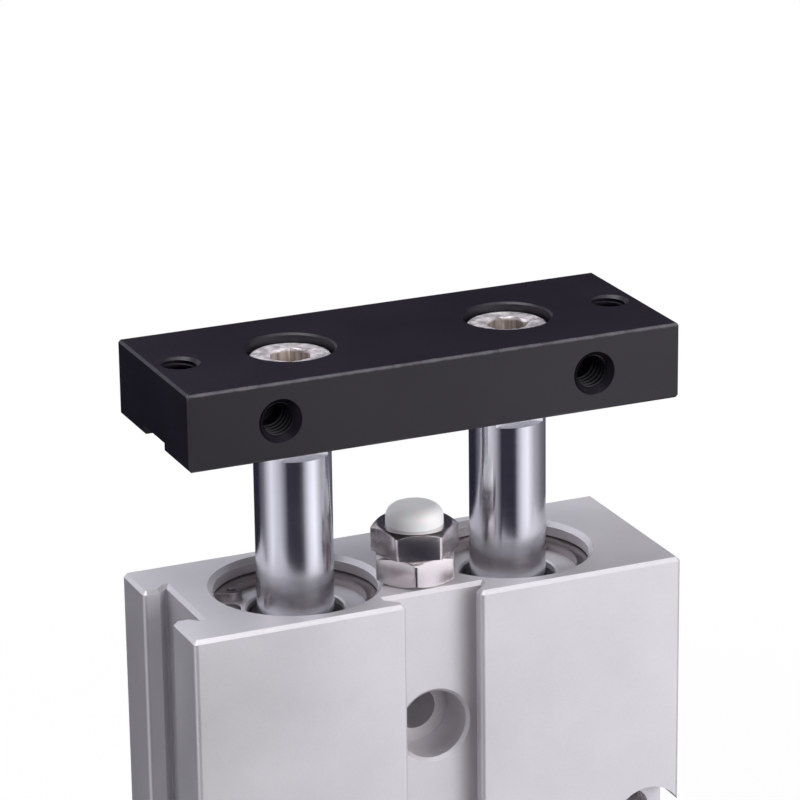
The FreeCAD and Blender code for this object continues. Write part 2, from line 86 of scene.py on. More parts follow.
ROUND_STEPS = 96             # segments round a turned piece
FINE_EDGE = 0.06 * MM        # rounding of an edge that was only broken
FINE_EDGE_STEPS = 2

ROD_TAIL_RADIUS = 2.5 * MM
ROD_HOLE_RADIUS = 2.52 * MM
ROD_HOLE_SPARE = 0.2 * MM    # how far the hole goes on below the screw
ROD_FLATS = 6.0 * MM         # across the wrench flats
ROD_FLATS_BELOW_PLATE = 2.9 * MM

SCREW_HEAD_RADIUS = 4.25 * MM
SCREW_HEAD_HEIGHT = 3.5 * MM
SCREW_HEAD_ROUNDING = 0.5 * MM
SCREW_HEAD_STEPS = 4
SCREW_SHANK_RADIUS = 2.5 * MM
SCREW_SOCKET = 4.0 * MM      # across flats
SCREW_SOCKET_DEPTH = 2.0 * MM
SCREW_SOCKET_TURNS = {"left": math.radians(8), "right": math.radians(38)}
SCREW_SOCKET_LEAD = 0.2 * MM       # depth of the cone that opens the socket's corners

FLATS_TO_CORNERS = math.sqrt(3) / 2          # of any hexagon
HEXAGON = 8.0 * MM           # across flats, bolt head and lock nut
HEXAGON_DROP = 0.45 * MM     # how far the turned chamfer comes down at a corner
HEXAGON_INSET = 0.12 * MM    # flats to the chamfer circle on the end face
HEXAGON_EDGE = 0.22 * MM     # rounding of their upright edges
HEXAGON_EDGE_STEPS = 3
LOCK_NUT_TURN = math.radians(8)
LOCK_NUT_HOLE = 2.53 * MM
BOLT_HEAD_TURN = math.radians(-17)
BOLT_HEAD_HEIGHT = 2.8 * MM

TIP_HEIGHT = 1.95 * MM
TIP_STRAIGHT = 0.6 * MM      # its side below the dome
TIP_DOME_STEPS = 10
TIP_STEM_RADIUS = 1.5 * MM
TIP_STEM_FIT = 0.02 * MM     # room round and under the stem

Thread = namedtuple("Thread", "minor major pitch")     # radii at its root and crest, and its pitch
BOLT_THREAD = Thread(2.05 * MM, 2.5 * MM, 0.8 * MM)
PLATE_TAP = Thread(1.6 * MM, 2.0 * MM, 0.7 * MM)
PORT_TAP = Thread(2.05 * MM, 2.5 * MM, 0.8 * MM)
THREAD_FLANKS = (0.22, 0.52, 0.66, 0.96)     # shares of the pitch at which the two flanks begin and end
TAP_STEPS = 40               # segments round a tapped hole

TOP_TAP_FROM_END = 3.0 * MM
FRONT_TAP_X = 17.1 * MM
FRONT_TAP_TURNS = 6
FRONT_TAP_MOUTH = 2.3 * MM   # radius and depth of its countersink
FRONT_TAP_SINK = 0.65 * MM
PORT_FROM_SIDE = 3.6 * MM
PORT_SEAT_DEPTH = 4.2 * MM
PORT_HEIGHTS = (13.0 * MM, 45.5 * MM)
PORT_TAP_TURNS = 4
MOUTH_RADIUS = 9.0 * MM      # of the chamfer at each bore's mouth
MOUTH_CHAMFER = 0.5 * MM


# Handling of objects

def deselect_all():
    bpy.ops.object.select_all(action="DESELECT")


def activate(piece):
    """Selects one object alone and makes it the active one."""
    deselect_all()
    piece.select_set(True)
    bpy.context.view_layer.objects.active = piece


@contextmanager
def editing(piece):
    """Edit mode on one object, with the selection made before it."""
    activate(piece)
    bpy.ops.object.mode_set(mode="EDIT")
    yield
    bpy.ops.object.mode_set(mode="OBJECT")


def select_mode(kind):
    bpy.context.tool_settings.mesh_select_mode = (kind == "VERT", kind == "EDGE", kind == "FACE")


def pick(piece, kind, test):
    """Selects the vertices, edges or faces of a mesh that pass a test on their points, and nothing else."""
    select_mode(kind)
    mesh = piece.data
    for group in (mesh.vertices, mesh.edges, mesh.polygons):
        group.foreach_set("select", [False] * len(group))
    if kind == "VERT":
        for vertex in mesh.vertices:
            vertex.select = test([vertex.co])
        return
    for item in mesh.edges if kind == "EDGE" else mesh.polygons:
        item.select = test([mesh.vertices[index].co for index in item.vertices])


def at_height(height):
    """Test for points that all lie at one height."""
    return lambda points: all(abs(point.z - height) < SAME_POINT for point in points)


def upright(points):
    """Test for edges along Z."""
    return abs(points[0].z - points[1].z) > SAME_POINT


def modify(piece, kind, **settings):
    """Adds a modifier and applies it."""
    activate(piece)
    modifier = piece.modifiers.new(kind.title(), kind)
    for name, value in settings.items():
        setattr(modifier, name, value)
    bpy.ops.object.modifier_apply(modifier=modifier.name)


def carve(piece, tool, operation="DIFFERENCE"):
    """Cuts, adds or keeps what another mesh covers, and uses that mesh up."""
    modify(piece, "BOOLEAN", operation=operation, object=tool, solver="EXACT")
    bpy.data.objects.remove(tool, do_unlink=True)


def break_edges(piece):
    """Rounds every sharp edge a little, so that it catches the light."""
    modify(piece, "BEVEL", width=FINE_EDGE, segments=FINE_EDGE_STEPS, limit_method="ANGLE",
           angle_limit=SMOOTH_ANGLE, harden_normals=False)


def place_object(name, data):
    """New object in the scene."""
    piece = bpy.data.objects.new(name, data)
    bpy.context.scene.collection.objects.link(piece)
    return piece


def duplicate(piece, name, move):
    """Copy of a piece with its own mesh, moved."""
    copy = place_object(name, piece.data.copy())
    copy.data.transform(Matrix.Translation(move))
    return copy


def cad_copy(node, name):
    """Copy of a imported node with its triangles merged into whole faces."""
    copy = place_object(name, frame["nodes"][node].data.copy())
    copy.data.materials.clear()
    with editing(copy):
        bpy.ops.mesh.select_all(action="SELECT")
        bpy.ops.mesh.customdata_custom_splitnormals_clear()
        bpy.ops.mesh.remove_doubles(threshold=SAME_POINT)
        bpy.ops.mesh.dissolve_limited(angle_limit=FLAT_ANGLE)
    return copy


def newly_added(name):
    """The primitive that was just added, with a name, and with its place in its mesh."""
    piece = bpy.context.object
    piece.name = name
    piece.data.transform(piece.matrix_world)
    piece.matrix_world = Matrix.Identity(4)
    return piece


def cylinder(name, radius, bottom, top, x=0.0, y=0.0, steps=ROUND_STEPS):
    """Upright cylinder as a start for a turned piece."""
    deselect_all()
    place = (x, y, (bottom + top) / 2)
    bpy.ops.mesh.primitive_cylinder_add(vertices=steps, radius=radius, depth=top - bottom, location=place)
    return newly_added(name)


def corner_radius(across_flats):
    """Radius of the circle through a hexagon's corners."""
    return across_flats / math.sqrt(3)


def prism(name, across_flats, bottom, top, x=0.0, y=0.0, turn=0.0):
    """Upright hexagonal prism with a corner towards +X when the turn is 0."""
    piece = cylinder(name, corner_radius(across_flats), bottom, top, steps=6)
    corner = piece.data.vertices[0].co
    start = math.atan2(corner.y, corner.x)
    piece.data.transform(Matrix.Translation((x, y, 0)) @ Matrix.Rotation(turn - start, 4, "Z"))
    return piece


def block(name, low, high):
    """Box between two corners, as a cutter."""
    deselect_all()
    low, high = Vector(low), Vector(high)
    bpy.ops.mesh.primitive_cube_add(size=1, location=(low + high) / 2, scale=high - low)
    return newly_added(name)


def step_face(piece, height, inset, rise):
    """Insets the end face at a height and moves it up or down, for a spigot or a bore."""
    pick(piece, "FACE", at_height(height))
    with editing(piece):
        bpy.ops.mesh.inset(thickness=inset)
        bpy.ops.mesh.extrude_region_move(TRANSFORM_OT_translate={"value": (0, 0, rise)})


def round_edges(piece, test, radius, steps):
    """Rounds the edges that pass a test, such as the rim of an end face."""
    pick(piece, "EDGE", test)
    with editing(piece):
        bpy.ops.mesh.bevel(offset=radius, segments=steps, profile=0.5, affect="EDGES")


def threaded_core(name, size, turns, steps=TAP_STEPS):
    """Closed screw thread from the origin along +Z: one flank profile swept as a helix."""
    minor, major, pitch = size
    radii = (minor, minor, major, major, minor, minor)
    profile = list(zip(radii, (0.0, *THREAD_FLANKS, 1.0)))
    deselect_all()
    bpy.ops.mesh.primitive_plane_add(size=pitch)
    piece = newly_added(name)
    pick(piece, "VERT", lambda points: points[0].x > 0)
    with editing(piece):
        bpy.ops.mesh.delete(type="VERT")
        bpy.ops.mesh.select_all(action="SELECT")
        bpy.ops.mesh.subdivide(number_cuts=len(profile) - 2)
    in_order = sorted(piece.data.vertices, key=lambda vertex: vertex.co.y)
    for vertex, (radius, share) in zip(in_order, profile):
        vertex.co = (radius, 0, share * pitch)
    modify(piece, "SCREW", axis="Z", angle=2 * math.pi, screw_offset=pitch, iterations=turns,
           steps=steps, render_steps=steps)
    select_mode("EDGE")
    with editing(piece):
        bpy.ops.mesh.select_all(action="SELECT")
        bpy.ops.mesh.remove_doubles(threshold=SAME_POINT)
        bpy.ops.mesh.select_non_manifold(extend=False, use_wire=False, use_multi_face=False,
                                         use_non_contiguous=False, use_verts=False)
        bpy.ops.mesh.extrude_edges_move()
        bpy.ops.mesh.merge(type="COLLAPSE")
        bpy.ops.mesh.select_all(action="SELECT")
        bpy.ops.mesh.normals_make_consistent(inside=False)
    return piece


def tap(piece, size, turns, point, direction):
    """Cuts a thread into the wall of a drilled hole, from a point along a direction."""
    tool = threaded_core("tap", size, turns)
    turn = Vector((0, 0, 1)).rotation_difference(Vector(direction)).to_matrix().to_4x4()
    tool.data.transform(Matrix.Translation(point) @ turn)
    carve(piece, tool)


def dress(piece, body, slot, *nodes):
    """Finishes a piece: smooth faces, the finish of its slot, and the body that it moves with."""
    activate(piece)
    bpy.ops.object.shade_smooth_by_angle(angle=SMOOTH_ANGLE)
    piece.data.materials.clear()
    piece.data.materials.append(finishes[slot])
    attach(piece, body)
    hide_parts(*nodes)


# Node helpers

VECTOR, FLOAT = "NodeSocketVector", "NodeSocketFloat"
MIX_VALUES = (2, 3)          # places of a Mix node's two values, of its two colours and of the mixed colour
MIX_COLORS = (6, 7)
MIXED_COLOR = 2
NOISE_START, NOISE_END = 0.3, 0.7            # most values of a noise lie between these


def link(tree, source, target):
    tree.links.new(source, target)


def add_node(tree, kind, inputs=None, **settings):
    """New node with its settings, and with values or links for its input sockets."""
    node = tree.nodes.new(kind)
    for name, value in settings.items():
        setattr(node, name, value)
    for name, value in (inputs or {}).items():
        if isinstance(value, bpy.types.NodeSocket):
            link(tree, value, node.inputs[name])
        else:
            node.inputs[name].default_value = value
    return node


def math_node(tree, operation, first, second=0.0):
    node = add_node(tree, "ShaderNodeMath", operation=operation, inputs={0: first, 1: second})
    return node.outputs[0]


def vector_node(tree, operation, first, second):
    node = add_node(tree, "ShaderNodeVectorMath", operation=operation, inputs={0: first, 1: second})
    return node.outputs[0]


def map_range(tree, value, start, end, low=0.0, high=1.0, kind="LINEAR"):
    """Maps a value between start and end to low and high."""
    node = add_node(tree, "ShaderNodeMapRange", interpolation_type=kind, inputs={
        "Value": value, "From Min": start, "From Max": end, "To Min": low, "To Max": high})
    return node.outputs[0]


def mix_values(tree, mask, low, high):
    """Two values mixed by a mask."""
    ends = dict(zip(MIX_VALUES, (low, high)))
    return add_node(tree, "ShaderNodeMix", inputs={0: mask, **ends}).outputs[0]


def mix_colors(tree, mask, low, high):
    """Two colours mixed by a mask. Either may come from another node."""
    colors = [end if isinstance(end, bpy.types.NodeSocket) else (*end, 1) for end in (low, high)]
    ends = dict(zip(MIX_COLORS, colors))
    return add_node(tree, "ShaderNodeMix", data_type="RGBA", inputs={0: mask, **ends}).outputs[MIXED_COLOR]


def separate(tree, vector):
    return add_node(tree, "ShaderNodeSeparateXYZ", inputs={0: vector}).outputs


def object_place(tree):
    return add_node(tree, "ShaderNodeTexCoord").outputs["Object"]


# Effects that several finishes share

def new_group(name, inputs, outputs):
    """Empty shader node group with named float or vector sockets."""
    tree = bpy.data.node_groups.new(name, "ShaderNodeTree")
    for label, kind in inputs.items():
        tree.interface.new_socket(label, in_out="INPUT", socket_type=kind)
    for label, kind in outputs.items():
        tree.interface.new_socket(label, in_out="OUTPUT", socket_type=kind)
    return tree, tree.nodes.new("NodeGroupInput").outputs, tree.nodes.new("NodeGroupOutput").inputs


def grain_group():
    """Fine even grain of a blasted or moulded surface, with broad cloudy patches."""
    tree, given, out = new_group(
        "surface_grain", {"Vector": VECTOR, "Grain scale": FLOAT, "Patch scale": FLOAT},
        {"Grain": FLOAT, "Patches": FLOAT})
    fine = add_node(tree, "ShaderNodeTexNoise", inputs={
        "Vector": given["Vector"], "Scale": given["Grain scale"], "Detail": 3.0, "Roughness": 0.6})
    broad = add_node(tree, "ShaderNodeTexNoise", inputs={
        "Vector": given["Vector"], "Scale": given["Patch scale"], "Detail": 4.0, "Roughness": 0.55})
    link(tree, fine.outputs[0], out["Grain"])
    link(tree, broad.outputs[0], out["Patches"])
    return tree


def lines_group():
    """Fine lines along one direction: noise squeezed by a scale for each axis."""
    tree, given, out = new_group("drawn_lines", {"Vector": VECTOR, "Scales": VECTOR}, {"Lines": FLOAT})
    squeezed = vector_node(tree, "MULTIPLY", given["Vector"], given["Scales"])
    noise = add_node(tree, "ShaderNodeTexNoise", inputs={
        "Vector": squeezed, "Scale": 1.0, "Detail": 3.0, "Roughness": 0.6})
    link(tree, noise.outputs[0], out["Lines"])
    return tree


def turning_group():
    """Rings left by turning, and the radius, round two upright axes that stand at plus and minus one X."""
    tree, given, out = new_group(
        "turning_rings", {"Vector": VECTOR, "Axis X": FLOAT, "Axis Y": FLOAT, "Rings": FLOAT},
        {"Rings": FLOAT, "Radius": FLOAT})
    x, y, _ = separate(tree, given["Vector"])
    across = math_node(tree, "SUBTRACT", math_node(tree, "ABSOLUTE", x), given["Axis X"])
    deep = math_node(tree, "SUBTRACT", y, given["Axis Y"])
    square = math_node(tree, "ADD", math_node(tree, "MULTIPLY", across, across),
                       math_node(tree, "MULTIPLY", deep, deep))
    radius = math_node(tree, "SQRT", square)
    noise = add_node(tree, "ShaderNodeTexNoise", noise_dimensions="1D", inputs={
        "W": math_node(tree, "MULTIPLY", radius, given["Rings"]), "Scale": 1.0, "Detail": 2.0})
    link(tree, noise.outputs[0], out["Rings"])
    link(tree, radius, out["Radius"])
    return tree


def box_edge_group():
    """Mask of the edges of a box, broken up by noise, for wear, polish and a painted highlight along them."""
    tree, given, out = new_group(
        "box_edge_wear",
        {"Vector": VECTOR, "Centre": VECTOR, "Half size": VECTOR, "Width": FLOAT, "Break up": FLOAT},
        {"Wear": FLOAT})
    away = vector_node(tree, "SUBTRACT", given["Vector"], given["Centre"])
    size = add_node(tree, "ShaderNodeVectorMath", operation="ABSOLUTE", inputs={0: away}).outputs[0]
    x, y, z = separate(tree, vector_node(tree, "SUBTRACT", given["Half size"], size))
    lowest = math_node(tree, "MINIMUM", math_node(tree, "MINIMUM", x, y), z)
    highest = math_node(tree, "MAXIMUM", math_node(tree, "MAXIMUM", x, y), z)
    total = math_node(tree, "ADD", math_node(tree, "ADD", x, y), z)
    middle = math_node(tree, "SUBTRACT", math_node(tree, "SUBTRACT", total, lowest), highest)
    noise = add_node(tree, "ShaderNodeTexNoise", inputs={
        "Vector": given["Vector"], "Scale": given["Break up"], "Detail": 4.0, "Roughness": 0.65})
    reach = math_node(tree, "MULTIPLY", given["Width"], math_node(tree, "MULTIPLY", noise.outputs[0], 2.0))
    link(tree, map_range(tree, middle, 0.0, reach, 1.0, 0.0, "SMOOTHSTEP"), out["Wear"])
    return tree


grain = grain_group()
lines = lines_group()
turning = turning_group()
box_edges = box_edge_group()


# Finishes

GRAIN_DEPTH = 0.02 * MM
PLATING_DEPTH = 0.015 * MM
BODY_POLISH = 0.35 * MM      # width of the bright line along the body's edges
PLATE_EDGE_LINE = 0.36 * MM       # width of the lighter line along the plate's edges: painted highlight at the upper front, wear elsewhere
PLATE_HIGHLIGHT_FADE = (0.3 * MM, 0.6 * MM)       # distances from front and top between which the painted highlight on the upper front edge fades
PLATE_WEAR_ELSEWHERE = 0.15  # share of the wear on the other edges
COUNTERSINK_SHADE = 0.75     # how metallic the black is in the countersinks: painted shade that takes away their sheen


class Finish:
    """One material: a Principled shader and helpers that lay colour, roughness and relief on it."""

    def __init__(self, name, color, roughness, **plain):
        self.material = bpy.data.materials.new(name)
        self.material.use_nodes = True
        self.tree = self.material.node_tree
        self.shader = self.tree.nodes["Principled BSDF"]
        self.place = object_place(self.tree)
        self.color = color
        self.shader.inputs["Base Color"].default_value = (*color, 1)
        self.shader.inputs["Roughness"].default_value = roughness
        for label, value in plain.items():
            self.shader.inputs[label.replace("_", " ")].default_value = value

    def group(self, tree, place=None, **inputs):
        """Places a shared effect, reading object coordinates or a place worked out from them."""
        node = add_node(self.tree, "ShaderNodeGroup", node_tree=tree)
        link(self.tree, place or self.place, node.inputs["Vector"])
        for label, value in inputs.items():
            node.inputs[label.replace("_", " ")].default_value = value
        return node.outputs

    def edge_wear(self, low, high, width, break_up):
        """Mask along the edges of the box between two corners."""
        wear = self.group(box_edges, Centre=(low + high) / 2, Half_size=(high - low) / 2,
                          Width=width, Break_up=break_up)
        return wear["Wear"]

    def axis(self, index):
        """One object coordinate: 0, 1 or 2 for X, Y or Z."""
        return separate(self.tree, self.place)[index]

    def from_front(self):
        """Object coordinates with Z in the place of Y, for what goes round an axis along Y."""
        swapped = add_node(self.tree, "ShaderNodeCombineXYZ", inputs={0: self.axis(0), 1: self.axis(2)})
        return swapped.outputs[0]

    def ranged(self, value, low, high, start=NOISE_START, end=NOISE_END):
        """Maps a value between start and end to low and high."""
        return map_range(self.tree, value, start, end, low, high)

    def falling(self, value, start, end):
        """Mask of where a value is low: 1 up to start, and 0 from end."""
        return map_range(self.tree, value, start, end, 1, 0)

    def rising(self, value, start, end):
        """Mask of where a value is high: 0 up to start, and 1 from end."""
        return map_range(self.tree, value, start, end, 0, 1)

    def both(self, first, second):
        """Mask of where two masks meet."""
        return math_node(self.tree, "MULTIPLY", first, second)

    def add(self, first, second, share):
        """Sum of a value and a share of another."""
        return math_node(self.tree, "ADD", first, math_node(self.tree, "MULTIPLY", second, share))

    def tint(self, mask, low, high):
        return mix_colors(self.tree, mask, low, high)

    def blend(self, mask, low, high):
        return mix_values(self.tree, mask, low, high)

    def clouded(self, pattern, dark, light, start=NOISE_START, end=NOISE_END, color=None):
        """A colour, by default the finish's own, that a pattern makes darker and lighter."""
        color = color or self.color
        return self.tint(self.ranged(pattern, 0, 1, start, end), shade(color, dark), shade(color, light))

    def set(self, label, value):
        link(self.tree, value, self.shader.inputs[label])

    def relief(self, height, strength, depth=GRAIN_DEPTH):
        """Bump from a height."""
        bump = add_node(self.tree, "ShaderNodeBump", inputs={
            "Height": height, "Strength": strength, "Distance": depth})
        self.set("Normal", bump.outputs[0])


def shade(color, factor):
    return tuple(channel * factor for channel in color)


def body_silver():
    """Blasted and clear anodised extrusion, brighter along its edges and on the chamfers of its bores."""
    polished = (0.78, 0.765, 0.785)
    finish = Finish("body_silver", (0.685, 0.663, 0.687), 0.42, Metallic=0.55)
    surface = finish.group(grain, Grain_scale=5200.0, Patch_scale=70.0)
    drawn = finish.group(lines, Scales=(2600.0, 2600.0, 40.0))
    rings = finish.group(turning, Axis_X=rod_x, Axis_Y=0.0, Rings=7000.0)
    wear = finish.edge_wear(body_low, body_high, BODY_POLISH, break_up=500.0)
    chamfer_low = body_high.z - MOUTH_CHAMFER
    mouth = finish.both(finish.falling(rings["Radius"], MOUTH_RADIUS, MOUTH_RADIUS + FINE_EDGE),
                        finish.rising(finish.axis(2), chamfer_low, chamfer_low + FINE_EDGE))
    bright = math_node(finish.tree, "MAXIMUM", wear, mouth)
    tone = finish.add(surface["Patches"], surface["Grain"], 0.45)
    blasted = finish.clouded(tone, 0.93, 1.04, start=0.5, end=0.95)
    finish.set("Base Color", finish.tint(bright, blasted, polished))
    finish.set("Roughness", finish.blend(bright, finish.ranged(surface["Patches"], 0.38, 0.47), 0.2))
    finish.relief(finish.add(surface["Grain"], drawn["Lines"], 0.5), 0.25)
    return finish.material


def plate_black():
    """Black anodised aluminium, satin, with a lighter line along its edges: a painted highlight along the
    upper front edge and a little wear along the others. Painted shade darkens its front countersinks.
    """
    # colour of the edge wear and of the painted highlight
    wear_and_highlight = (0.105, 0.1, 0.118)
    finish = Finish("plate_black", (0.006, 0.0046, 0.0082), 0.34, Specular_IOR_Level=0.45)
    surface = finish.group(grain, Grain_scale=4200.0, Patch_scale=60.0)
    wear = finish.edge_wear(plate_low, plate_high, PLATE_EDGE_LINE, break_up=700.0)
    near, far = PLATE_HIGHLIGHT_FADE
    # painted highlight: the lighter colour lies in full only along the upper front edge
    painted_highlight = finish.both(finish.falling(finish.axis(1), plate_low.y + near, plate_low.y + far),
                          finish.rising(finish.axis(2), plate_high.z - far, plate_high.z - near))
    wear = finish.both(wear, finish.blend(painted_highlight, PLATE_WEAR_ELSEWHERE, 1.0))
    finish.set("Base Color", finish.tint(wear, finish.clouded(surface["Patches"], 0.85, 1.25), wear_and_highlight))
    uneven = finish.add(surface["Patches"], surface["Grain"], 0.4)
    finish.set("Roughness", finish.ranged(uneven, 0.29, 0.4, start=0.45, end=0.95))
    # painted shade: the front countersinks get black metal, which darkens them
    hole = finish.group(turning, finish.from_front(), Axis_X=FRONT_TAP_X, Axis_Y=plate_centre.z, Rings=0.0)
    sink = plate_low.y + FRONT_TAP_SINK
    countersink_shade = finish.both(finish.falling(hole["Radius"], FRONT_TAP_MOUTH - FINE_EDGE, FRONT_TAP_MOUTH),
                              finish.falling(finish.axis(1), sink, sink + FINE_EDGE))
    finish.set("Metallic", finish.blend(countersink_shade, 0.0, COUNTERSINK_SHADE))
    finish.relief(surface["Grain"], 0.22)
    return finish.material


def rod_chrome():
    """Hard chrome. The grinding runs round the rod, so it blurs reflections along it only."""
    finish = Finish("rod_chrome", (0.78, 0.785, 0.825), 0.16, Metallic=1.0,
                    Anisotropic=0.9, Anisotropic_Rotation=0.25)
    ground = finish.group(lines, Scales=(150.0, 150.0, 9000.0))
    surface = finish.group(grain, Grain_scale=3000.0, Patch_scale=90.0)
    finish.set("Base Color", finish.clouded(surface["Patches"], 0.96, 1.03))
    uneven = finish.add(ground["Lines"], surface["Patches"], 0.5)
    finish.set("Roughness", finish.ranged(uneven, 0.13, 0.19, start=0.5, end=1.0))
    finish.relief(ground["Lines"], 0.012)
    return finish.material


def screw_nickel():
    """Nickel plated screws: a pale, mottled head and a duller socket in painted shade, with upright broach
    marks.
    """
    # painted shade: the socket is coloured far darker than the head
    socket = (0.37, 0.315, 0.285)
    finish = Finish("screw_nickel", (0.82, 0.765, 0.775), 0.36, Metallic=0.6)
    surface = finish.group(grain, Grain_scale=2600.0, Patch_scale=1300.0)
    rings = finish.group(turning, Axis_X=rod_x, Axis_Y=0.0, Rings=9000.0)
    broached = finish.group(lines, Scales=(2200.0, 2200.0, 60.0))
    shaded_socket = finish.falling(finish.axis(2), screw_high.z - 2 * SCREW_SOCKET_LEAD,
                               screw_high.z - SCREW_SOCKET_LEAD)
    mottled = finish.clouded(surface["Patches"], 0.5, 1.15, start=0.35, end=0.65)
    # the socket's painted shade, striped by broach marks
    shaded_walls = finish.clouded(broached["Lines"], 0.5, 1.5, start=0.35, end=0.65, color=socket)
    finish.set("Base Color", finish.tint(shaded_socket, mottled, shaded_walls))
    finish.set("Roughness", finish.ranged(surface["Patches"], 0.3, 0.44))
    finish.relief(finish.add(rings["Rings"], surface["Grain"], 0.8), 0.2, PLATING_DEPTH)
    return finish.material


def plated(name, color, roughness, spread, axis_x, axis_y):
    """Bright plated steel with turning rings on its end faces."""
    finish = Finish(name, color, roughness, Metallic=1.0)
    surface = finish.group(grain, Grain_scale=3800.0, Patch_scale=260.0)
    rings = finish.group(turning, Axis_X=axis_x, Axis_Y=axis_y, Rings=9000.0)
    finish.set("Base Color", finish.clouded(surface["Patches"], 0.86, 1.06))
    uneven = finish.add(surface["Patches"], surface["Grain"], 0.3)
    finish.set("Roughness", finish.ranged(uneven, roughness - spread, roughness + spread, start=0.4, end=0.9))
    finish.relief(finish.add(rings["Rings"], surface["Grain"], 0.6), 0.12, PLATING_DEPTH)
    return finish.material


def turned_aluminium():
    """Turned covers with fine concentric rings."""
    finish = Finish("cover_aluminium", (0.76, 0.745, 0.765), 0.36, Metallic=0.6)
    rings = finish.group(turning, Axis_X=rod_x, Axis_Y=0.0, Rings=7000.0)
    surface = finish.group(grain, Grain_scale=4000.0, Patch_scale=150.0)
    finish.set("Base Color", finish.clouded(surface["Patches"], 0.9, 1.05))
    finish.set("Roughness", finish.ranged(rings["Rings"], 0.3, 0.44))
    finish.relief(rings["Rings"], 0.3)
    return finish.material


def soft_or_dull(name, color, roughness, metal=0.0, grain_scale=3000.0, depth=GRAIN_DEPTH, **plain):
    """Rubber, plastic, bronze and other plain materials: cloudy tone, uneven roughness and a fine grain."""
    spread = 0.06
    finish = Finish(name, color, roughness, Metallic=metal, **plain)
    surface = finish.group(grain, Grain_scale=grain_scale, Patch_scale=180.0)
    finish.set("Base Color", finish.clouded(surface["Patches"], 0.85, 1.12))
    finish.set("Roughness", finish.ranged(surface["Patches"], roughness - spread, roughness + spread))
    finish.relief(surface["Grain"], 0.25, depth)
    return finish.material


finishes = {
    "body_silver": body_silver(),
    "plate_black": plate_black(),
    "rod_chrome": rod_chrome(),
    "screw_nickel": screw_nickel(),
    "nut_plated": plated("nut_plated", (0.79, 0.735, 0.73), 0.25, 0.05, axis_x=0.0, axis_y=adjuster_y),
    "plug_steel": plated("plug_steel", (0.42, 0.42, 0.43), 0.34, 0.06, axis_x=body_high.x, axis_y=0.0),
    "ring_steel": soft_or_dull("ring_steel", (0.43, 0.385, 0.385), 0.36, metal=1.0, grain_scale=5000.0),
    "cover_aluminium": turned_aluminium(),
    "seal_rubber": soft_or_dull("seal_rubber", (0.012, 0.012, 0.013), 0.5),
    "bush_bronze": soft_or_dull("bush_bronze", (0.55, 0.38, 0.2), 0.4, metal=1.0),
    "cushion_urethane": soft_or_dull("cushion_urethane", (0.55, 0.42, 0.16), 0.5),
    "wear_plastic": soft_or_dull("wear_plastic", (0.62, 0.55, 0.42), 0.5),
    "magnet_black": soft_or_dull("magnet_black", (0.03, 0.03, 0.033), 0.55),
    "tip_nylon": soft_or_dull("tip_nylon", (0.94, 0.93, 0.945), 0.45, grain_scale=2500.0,
                              depth=GRAIN_DEPTH / 2, Subsurface_Weight=0.25, Subsurface_Scale=0.6 * MM),
}


# Pieces

def dressed_body():
    """The extrusion with threads cut into its two front ports."""
    piece = cad_copy("cylinder_body", "cylinder_body_dressed")
    for height in PORT_HEIGHTS:
        start = (body_high.x - PORT_FROM_SIDE, body_low.y + PORT_SEAT_DEPTH - PORT_TAP.pitch, height)
        tap(piece, PORT_TAP, PORT_TAP_TURNS, start, (0, 1, 0))
    dress(piece, "cylinder", "body_silver", "cylinder_body")


def dressed_plate():
    """The end plate with threads cut into its four tapped holes."""
    piece = cad_copy("end_plate", "end_plate_dressed")
    pitch = PLATE_TAP.pitch
    through_turns = math.ceil((plate_high.z - plate_low.z) / pitch) + 1
    top_x = plate_high.x - TOP_TAP_FROM_END
    for sign in SIDES.values():
        tap(piece, PLATE_TAP, through_turns, (sign * top_x, 0, plate_low.z - pitch), (0, 0, 1))
        front = (sign * FRONT_TAP_X, plate_low.y - pitch / 2, plate_centre.z)
        tap(piece, PLATE_TAP, FRONT_TAP_TURNS, front, (0, 1, 0))
    dress(piece, "rods", "plate_black", "end_plate")


def dressed_rods():
    """Chromed rods: turned-down tail, bored tip and two wrench flats under the plate."""
    rod = cylinder("piston_rod_dressed_right", rod_radius, piston_top, rod_high.z, rod_x,
                   steps=2 * ROUND_STEPS)
    step_face(rod, piston_top, rod_radius - ROD_TAIL_RADIUS, rod_low.z - piston_top)
    hole_bottom = screw_low.z - ROD_HOLE_SPARE
    step_face(rod, rod_high.z, rod_radius - ROD_HOLE_RADIUS, hole_bottom - rod_high.z)
    flats_bottom = plate_low.z - ROD_FLATS_BELOW_PLATE
    for sign in SIDES.values():
        near, far = sorted((sign * ROD_FLATS / 2, sign * 2 * rod_radius))
        low = (rod_x - 2 * rod_radius, near, flats_bottom)
        carve(rod, block("flat_cutter", low, (rod_x + 2 * rod_radius, far, plate_high.z)))
    other = duplicate(rod, "piston_rod_dressed_left", (-2 * rod_x, 0, 0))
    dress(rod, "rods", "rod_chrome", "piston_rod_right")
    dress(other, "rods", "rod_chrome", "piston_rod_left")


